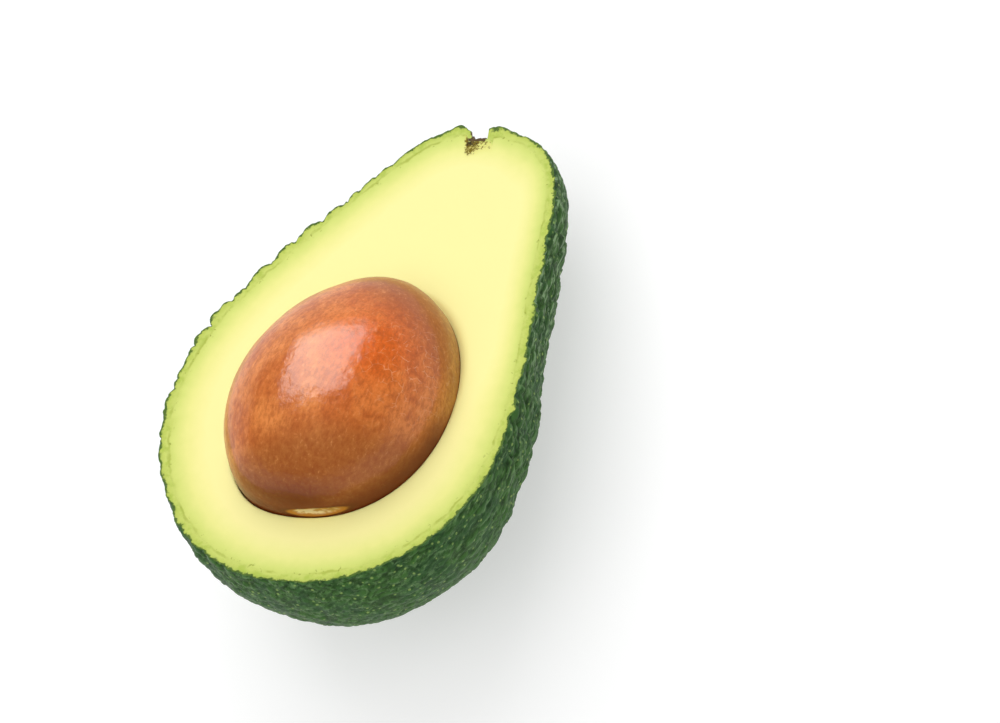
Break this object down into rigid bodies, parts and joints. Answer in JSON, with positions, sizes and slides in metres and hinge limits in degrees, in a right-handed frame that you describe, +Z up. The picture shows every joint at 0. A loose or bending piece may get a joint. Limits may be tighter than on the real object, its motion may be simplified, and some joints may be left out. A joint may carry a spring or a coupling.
{
  "type": "avocado half",
  "caption": "Half of a pear-shaped avocado cut lengthways, with its brown stone, pale green flesh and dark pebbled skin, lying cut face up.",
  "frame": {"origin": "middle of the flat pressed spot under the belly, on the surface that the half lies on", "axes": "+Z up, +X along the fruit from the blossom end towards the stem end, with the neck 12 degrees down, +Y across"},
  "size_m": [0.1069, 0.073, 0.0591],
  "materials": {
    "skin": "dark green pebbled rind with pale specks, satin",
    "flesh": "smooth moist cut flesh, cream yellow at the stone to green at the rind",
    "stone": "polished reddish brown seed coat with fine veins",
    "stem_scar": "dry dark cork"
  },
  "bodies": {
    "root": {"skin": "skin", "flesh": "flesh", "stone": "stone", "stem_scar": "stem_scar"}
  },
  "joints": []
}
